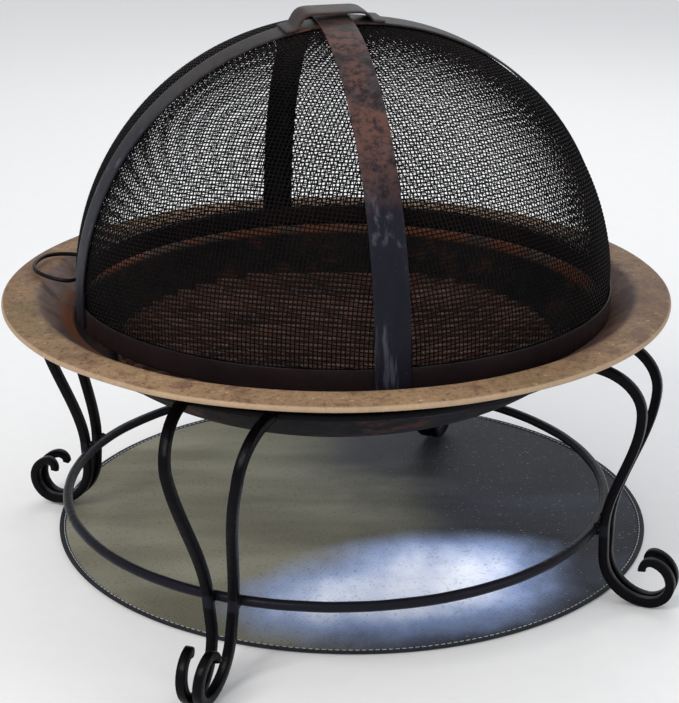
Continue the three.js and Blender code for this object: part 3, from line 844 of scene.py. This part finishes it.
def make_mat():
    """The round cloth, drawn in rings and given its soft unevenness, with its tape and thread."""
    clear_selection()
    place = (MAT_CENTRE.x, MAT_CENTRE.y, 0)
    bpy.ops.mesh.primitive_circle_add(vertices=144, radius=CLOTH_RADIUS, location=place)
    cloth = bpy.context.active_object
    cloth.name = cloth.data.name = "mat_cloth"
    rings = 30
    bpy.ops.object.mode_set(mode="EDIT")
    bpy.ops.mesh.select_all(action="SELECT")
    for i in range(1, rings):
        bpy.ops.mesh.extrude_region_move()
        share = (rings - i) / (rings - i + 1)
        bpy.ops.transform.resize(value=(share, share, 1), center_override=place)
    bpy.ops.mesh.extrude_region_move()
    bpy.ops.mesh.merge(type="CENTER")
    bpy.ops.mesh.select_all(action="SELECT")
    bpy.ops.mesh.normals_make_consistent(inside=False)
    leave_edit()
    apply_place()
    if cloth.data.polygons[0].normal.z < 0:
        edit(cloth)
        bpy.ops.mesh.flip_normals()
        leave_edit()
    for vertex in cloth.data.vertices:
        vertex.co.z = mat_height(vertex.co.x, vertex.co.y) + 0.4 * MM
    apply_modifier(cloth, "SOLIDIFY", thickness=0.7 * MM, offset=-1.0)
    finished(cloth, "stand", "silver_cloth", "mat")
    tape = [(MAT_RADIUS - HEM_WIDTH + r, z) for r, z in tape_outline()]
    binding = spun("mat_edge_tape", tape, 200)
    for vertex in binding.data.vertices:
        x, y = vertex.co.x + MAT_CENTRE.x, vertex.co.y + MAT_CENTRE.y
        a = math.atan2(vertex.co.y, vertex.co.x)
        pucker = 0.18 * math.sin(a * 90) + 0.2 * noise.noise(Vector((x * 20, y * 20, 0)))
        vertex.co.z += max(0.0, vertex.co.z - 0.6 * MM) * pucker * 0.5
        vertex.co.x, vertex.co.y = x, y
    finished(binding, "stand", "cloth_binding", "mat_binding")
    stitches = make_stitches()


def tape_outline():
    """The section of the folded tape that wraps the cloth's edge."""
    outline = [(0, 1.5), (1.5, 2.0), (4.0, 2.35), (6.5, 2.2), (7.6, 1.7), (8.0, 1.1),
               (7.6, 0.5), (6.5, 0.15), (4.0, 0.08), (1.5, 0.12), (0, 0.3), (0, 1.5)]
    return [(r * MM, z * MM) for r, z in outline]


def make_stitches():
    """One running stitch, copied round the tape."""
    place = (MAT_RADIUS - 6.2 * MM, 0, 2.2 * MM)
    clear_selection()
    bpy.ops.mesh.primitive_cylinder_add(vertices=5, radius=0.45 * MM, depth=4.4 * MM,
                                        location=place, rotation=(math.pi / 2, 0, 0))
    stitch = bpy.context.active_object
    stitch.name = stitch.data.name = "mat_stitches"
    apply_place()
    corners = [v.co.copy() for v in stitch.data.vertices]
    faces = [list(p.vertices) for p in stitch.data.polygons]
    every_corner, every_face = [], []
    for i in range(STITCHES):
        a = math.tau * i / STITCHES
        first = len(every_corner)
        for c in corners:
            x = c.x * math.cos(a) - c.y * math.sin(a) + MAT_CENTRE.x
            y = c.x * math.sin(a) + c.y * math.cos(a) + MAT_CENTRE.y
            every_corner.append((x, y, c.z))
        every_face += [[first + k for k in face] for face in faces]
    mesh = bpy.data.meshes.new("mat_stitches")
    mesh.from_pydata(every_corner, [], every_face)
    stitch.data = mesh
    return finished(stitch, "stand", "cloth_binding", material=THREAD)


# -------------------------------- grate
GRATE_BAR = 8 * MM
GRATE_HOOP_WIDTH = 10 * MM


def make_square_bar(name, node):
    """A square bar that fills its CAD node's box, with worn edges and slightly uneven faces."""
    low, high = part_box(node)
    clear_selection()
    bpy.ops.mesh.primitive_cube_add(size=1, location=(low + high) / 2)
    bar = bpy.context.active_object
    bar.name = bar.data.name = name
    bar.scale = high - low
    apply_place()
    longest = max(range(3), key=lambda i: (high - low)[i])
    edit(bar)
    normal = [0, 0, 0]
    normal[longest] = 1
    cuts = 18
    for i in range(1, cuts):
        bpy.ops.mesh.select_all(action="SELECT")
        point = low + (high - low) * (i / cuts)
        bpy.ops.mesh.bisect(plane_co=point, plane_no=normal)
    leave_edit()
    apply_modifier(bar, "BEVEL", width=GRATE_BAR * 0.14, segments=3, limit_method="ANGLE")
    for vertex in bar.data.vertices:
        vertex.co += noise.noise_vector(vertex.co * 38.0) * 0.35 * MM
    finished(bar, "grate", "grate_steel", node)


def make_grate():
    outer = radius("grate_hoop")
    ring = ring_of("grate_ring", outer - GRATE_HOOP_WIDTH, outer, bottom("grate_hoop"),
                   top("grate_hoop"), 1.6 * MM, 144)
    finished(ring, "grate", "grate_steel", "grate_hoop")
    bars = sorted(n for n in frame["nodes"] if n.startswith(("grate_bar_", "grate_bearer_")))
    for node in bars:
        make_square_bar("burnt_" + node[len("grate_"):], node)


# -------------------------------- spark screen
GRIP_WIDTH = 39.2 * MM
GRIP_WALL = 2.4 * MM
GRIP_HALF = 44 * MM  # from the crossing to where the grip turns up off the rib


def arch_line(half_width, rise, foot):
    """The middle line of a rib: a half-ellipse over two short upright feet."""
    steps = 72
    half_way = (foot + BAND_TOP) / 2
    line = [(half_width, foot), (half_width, half_way)]
    for i in range(steps + 1):
        a = math.pi * i / steps
        line.append((half_width * math.cos(a), BAND_TOP + rise * math.sin(a)))
    return line + [(-half_width, half_way), (-half_width, foot)]


def strap_along(name, line, width, thickness):
    """A flat strap along (across, up) points: its edge is drawn, pulled out to its width,
    thickened and its edges eased."""
    strap = drawn_line(name, [(x, -width / 2, z) for x, z in line])
    bpy.ops.mesh.select_all(action="SELECT")
    slices = 6
    for _ in range(slices):
        bpy.ops.mesh.extrude_region_move(TRANSFORM_OT_translate={"value": (0, width / slices, 0)})
    bpy.ops.mesh.select_all(action="SELECT")
    bpy.ops.mesh.normals_make_consistent(inside=False)
    leave_edit()
    apply_modifier(strap, "SOLIDIFY", thickness=thickness, offset=0.0)
    apply_modifier(strap, "BEVEL", width=0.45 * MM, segments=2, limit_method="ANGLE",
                   angle_limit=math.radians(50))
    return strap


def lay_round(strap, offset):
    """Beds a strap drawn beside the dome's middle down onto the dome, right across its width."""
    for vertex in strap.data.vertices:
        beside = vertex.co.y + offset
        inward = Vector((-vertex.co.x, 0, min(0.0, BAND_TOP - vertex.co.z))).normalized()
        vertex.co += inward * beside * beside / (2 * BAND_RADIUS)


def make_ribs():
    """The two flat ribs over the dome, each a little to one side of its middle."""
    reach = BAND_RADIUS + FIT + STRAP / 2
    for node, azimuth, offset in (("rib_under", UNDER_RIB_AZIMUTH, UNDER_RIB_OFFSET),
                                  ("rib_over", OVER_RIB_AZIMUTH, OVER_RIB_OFFSET)):
        low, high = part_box(node)
        rise = high.z - BAND_TOP - STRAP / 2
        strap = strap_along("strap_" + node, arch_line(reach, rise, low.z), RIB_WIDTH, STRAP)
        lay_round(strap, offset)
        turn_about_axis(strap, azimuth - 90, Vector((SCREEN_X, 0, 0)) + sideways(azimuth) * offset)
        finished(strap, "screen", "dark_strap", node)


def make_grip():
    """The low strap arched over the crossing of the ribs, its feet on the lower rib."""
    rib_top = top("rib_under")
    along = CROSSING.dot(outward(UNDER_RIB_AZIMUTH))
    reach = BAND_RADIUS + FIT + STRAP
    crest = top("crown_grip") - 1.5 * MM

    def seat(x):
        """Height of the grip's foot, which lies on the rib."""
        fall = 1 - math.sqrt(1 - ((x + along) / reach) ** 2)
        return rib_top - (rib_top - BAND_TOP) * fall + 1.9 * MM

    def side(way):
        """A foot along the rib, and the leg that rises from it to the crest."""
        foot = seat(way * GRIP_HALF)
        line = [(way * x * MM, seat(way * x * MM)) for x in (56, 53.5, 50.5, 48, 46)]
        leg = [(44.0, 0.03), (42.2, 0.14), (40.8, 0.28), (39.2, 0.46), (37.4, 0.63), (35.2, 0.78),
               (32.2, 0.90), (28.2, 0.97), (23.0, 1.0)]
        return line + [(way * x * MM, foot + (crest - foot) * share) for x, share in leg]

    points = side(1) + [(8 * MM, crest), (-8 * MM, crest)] + side(-1)[::-1]
    grip = strap_along("strap_crown_grip", points, GRIP_WIDTH, GRIP_WALL)
    lay_round(grip, UNDER_RIB_OFFSET)
    turn_about_axis(grip, UNDER_RIB_AZIMUTH - 90, Vector((SCREEN_X, 0, 0)) + CROSSING)
    finished(grip, "screen", "dark_strap", "crown_grip")


def make_band():
    """The screen's base band, and the liner strip that pinches the mesh inside it."""
    for name, node in (("strap_band", "screen_band"), ("strap_liner", "band_liner")):
        outer = radius(node)
        strip = ring_of(name, outer - STRAP, outer, bottom(node), top(node), 0.7 * MM, 192,
                        SCREEN_X)
        finished(strip, "screen", "black_iron", node)


WIRE_PITCH = 4.6 * MM
WIRE = 0.7 * MM  # half a wire's thickness
WEAVE = 0.62 * MM  # how far a wire steps up and down where it crosses another
BULGE = 1.6 * MM  # the mesh stands out this far over its own foot
MESH_SETBACK = 1.5 * MM  # the mesh's foot stays this far inside the band
MESH_EDGE = 6 * MM  # the wires stop this far short of a rib's middle plane
MESH_TILT = 15
# the azimuth at which each gore's wires run level and upright
GORES = {"front_left": -26, "front_right": 40, "back_right": 150, "back_left": 239}


def make_gore(node, low_azimuth, high_azimuth, middle):
    """Woven wire between two ribs: two families of wires pass over and under each other. The
    cloth is cut so that its wires run level and upright at the middle azimuth."""
    tilt = math.radians(MESH_TILT)
    out = outward(middle) * math.cos(tilt) + Vector((0, 0, math.sin(tilt)))
    across = sideways(middle)
    up = out.cross(across)
    ball = BAND_RADIUS - STRAP - FIT - MESH_SETBACK
    flat = (DOME_RISE - 2.0 * MM) / (ball + BULGE)
    foot = bottom(node) - BAND_TOP + 1.0 * MM
    step = WIRE_PITCH / ball
    count = int(math.radians(80) / step)
    side_a, side_b = sideways(low_azimuth), sideways(high_azimuth)

    def crossing(i, j, lift):
        """Where two wires cross, from the middle of the band's top, or None outside the gore."""
        u, v = math.sin(i * step), math.sin(j * step)
        rest = 1 - u * u - v * v
        if rest <= 0.02:
            return None
        p = (across * u + up * v + out * math.sqrt(rest)) * ball
        beside = p - CROSSING
        if beside.dot(side_a) < MESH_EDGE or -beside.dot(side_b) < MESH_EDGE:
            return None
        if p.z < 0:
            level = Vector((p.x, p.y, 0))
            if level.length < ball * 0.9 or p.z < foot:
                return None
            level = level.normalized() * (ball + lift)
            return Vector((level.x, level.y, p.z))
        p = p * ((ball + lift + min(1.0, p.z / (30 * MM)) * BULGE) / ball)
        return Vector((p.x, p.y, p.z * flat))

    corners, faces = [], []

    def wire(line):
        """Adds a square wire along a line, unless it is a mere snip."""
        if len(line) < 3:
            return
        first = len(corners)
        for k, p in enumerate(line):
            ahead = line[min(k + 1, len(line) - 1)] - line[max(k - 1, 0)]
            ahead.normalize()
            normal = Vector((p.x, p.y, max(p.z, 0))).normalized()
            flank = ahead.cross(normal).normalized()
            for a, b in ((1, 0), (0, 1), (-1, 0), (0, -1)):
                q = p + flank * a * WIRE + normal * b * WIRE
                corners.append((q.x + SCREEN_X, q.y, q.z + BAND_TOP))
        for k in range(len(line) - 1):
            here = first + 4 * k
            for c in range(4):
                d = (c + 1) % 4
                faces.append((here + c, here + d, here + 4 + d, here + 4 + c))
        faces.append(tuple(first + c for c in (3, 2, 1, 0)))
        last = first + 4 * (len(line) - 1)
        faces.append(tuple(last + c for c in range(4)))

    for family in (0, 1):
        for i in range(-count, count + 1):
            line = []
            for j in range(-count, count + 1):
                sign = 1 if (i + j) % 2 == 0 else -1
                lift = WEAVE * sign * (1 if family == 0 else -1)
                p = crossing(i, j, lift) if family == 0 else crossing(j, i, lift)
                if p is None:
                    wire(line)
                    line = []
                else:
                    line.append(p)
            wire(line)
    mesh = bpy.data.meshes.new("woven_" + node)
    mesh.from_pydata(corners, [], faces)
    gore = bpy.data.objects.new("woven_" + node, mesh)
    bpy.context.collection.objects.link(gore)
    edit(gore)
    bpy.ops.mesh.normals_make_consistent(inside=False)
    leave_edit()
    finished(gore, "screen", "black_wire", node, angle=60)


def make_screen():
    make_band()
    make_ribs()
    make_grip()
    edges = [azimuth + turn for turn in (0, 180, 360)
             for azimuth in (UNDER_RIB_AZIMUTH, OVER_RIB_AZIMUTH)]
    for i, (name, middle) in enumerate(GORES.items()):
        make_gore("mesh_" + name, edges[i], edges[i + 1], middle)


# -------------------------------- side handle
HANDLE_AZIMUTH = -100
HANDLE_WIRE = 2.5 * MM  # half the wire's thickness
HANDLE_HALF_WIDTH = 48 * MM
HANDLE_REACH = 58 * MM
HANDLE_CORNER = 12 * MM
CLIP_LENGTH = 22 * MM
CLIP_WALL = 1.3 * MM
CLIP_TAIL = 8 * MM  # how far the clip's two ends reach along the band


def make_side_handle():
    """A wire bent into a D, which lies on the flange and turns in its clip."""
    joint = next(j for j in frame["joints"] if j["name"] == "handle_swing")
    pivot = Vector(joint["pos_m"])
    w, d, c = HANDLE_HALF_WIDTH, HANDLE_REACH, HANDLE_CORNER
    corner = []
    for i in range(7):
        a = math.radians(15 * i)
        corner.append((w - c + c * math.sin(a), -c + c * math.cos(a)))
    bow = []
    for i in range(1, 13):
        a = math.radians(90 * i / 12)
        bow.append((w * math.cos(a) ** 0.8, -c - (d - c) * math.sin(a)))
    half = [(0, 0)] + corner + bow
    loop = half + [(-x, y) for x, y in reversed(half[1:-1])]
    turns = [math.tau * i / 10 for i in range(11)]
    section = [(HANDLE_WIRE * math.cos(a), HANDLE_WIRE * math.sin(a)) for a in turns]
    handle = swept("bent_side_handle", [(x, y, 0) for x, y in loop], section, closed=True)
    pivot_reach = (pivot - Vector((SCREEN_X, 0, 0))).to_2d().length
    from_axis = pivot_reach + SCREEN_X * math.sin(math.radians(HANDLE_AZIMUTH))
    rise = BEND_HEIGHT + FIT + HANDLE_WIRE - pivot.z
    tilt = math.atan2(rise + 1 * MM, BEND_RADIUS - from_axis)
    take(handle)
    handle.rotation_euler = (-tilt, 0, 0)
    apply_place()
    turn_about_axis(handle, HANDLE_AZIMUTH, pivot)
    finished(handle, "handle", "black_iron", "side_handle", angle=60)
    make_clip(pivot)


def make_clip(pivot):
    """A strip folded round the handle's wire and welded to the band."""
    back = BAND_RADIUS + FIT - Vector((pivot.x - SCREEN_X, pivot.y, 0)).length + 0.8 * MM
    outer = HANDLE_WIRE + 1.5 * MM
    line = [(back, CLIP_TAIL), (back, outer)]
    for i in range(13):
        a = math.radians(90 + 15 * i)
        line.append((-outer * math.cos(a), outer * math.sin(a)))
    line += [(back, -outer), (back, -CLIP_TAIL)]
    clip = strap_along("folded_clip", line, CLIP_LENGTH, CLIP_WALL)
    turn_about_axis(clip, HANDLE_AZIMUTH + 90, pivot)
    finished(clip, "screen", "black_iron", "handle_clip")


# -------------------------------- floor, light and camera
def make_stage():
    """A plain pale floor, just below the mat."""
    clear_selection()
    bpy.ops.mesh.primitive_plane_add(size=30, location=(0, 0, -0.6 * MM))
    floor = bpy.context.active_object
    floor.name = "floor"
    f = Finish("pale_floor")
    grain = f.noise(40.0, 3.0)
    f.set(Base_Color=f.mix(grain, (0.9, 0.9, 0.9), (0.94, 0.94, 0.94)), Roughness=0.8)
    floor.data.materials.append(f.material)


def soft_light(name, place, size, power, colour=(1, 1, 1)):
    """A soft panel of light, aimed at the middle of the fire pit."""
    data = bpy.data.lights.new(name, "AREA")
    data.shape = "RECTANGLE"
    data.size, data.size_y = size
    data.energy = power
    data.color = colour
    lamp = bpy.data.objects.new(name, data)
    bpy.context.collection.objects.link(lamp)
    lamp.location = place
    aim = Vector((0, 0, 0.3)) - Vector(place)
    lamp.rotation_euler = aim.to_track_quat("-Z", "Y").to_euler()


def make_light():
    """Pale air all round, and three soft panels."""
    bpy.context.scene.view_settings.view_transform = "Standard"
    world = bpy.data.worlds.new("pale_room")
    bpy.context.scene.world = world
    world.use_nodes = True
    air = world.node_tree.nodes["Background"]
    air.inputs["Color"].default_value = (0.95, 0.97, 1.0, 1)
    air.inputs["Strength"].default_value = 0.7
    soft_light("key", (-1.8, -2.2, 2.6), (1.4, 1.4), 62, (1.0, 0.97, 0.93))
    soft_light("fill", (2.4, -1.2, 1.3), (1.4, 1.4), 16, (0.9, 0.95, 1.0))
    soft_light("back", (0.6, 2.6, 2.0), (2.2, 1.2), 15)


SENSOR = 36
LENS = SENSOR * 1848 / 703
CAMERA_PLACE = (0, -2.027, 1.0)
CAMERA_FALL = 20.13  # degrees below level


def make_camera():
    """A camera a little above the fire pit, which looks down at its front."""
    data = bpy.data.cameras.new("camera")
    data.sensor_width = SENSOR
    data.lens = LENS
    data.shift_x = 0.0047
    camera = bpy.data.objects.new("camera", data)
    bpy.context.collection.objects.link(camera)
    camera.location = CAMERA_PLACE
    camera.rotation_euler = (math.radians(90 - CAMERA_FALL), 0, 0)
    bpy.context.scene.camera = camera


make_camera()
make_light()
make_stage()
make_bowl()
make_stand()
make_mat()
make_grate()
make_screen()
make_side_handle()

bpy.context.view_layer.update()
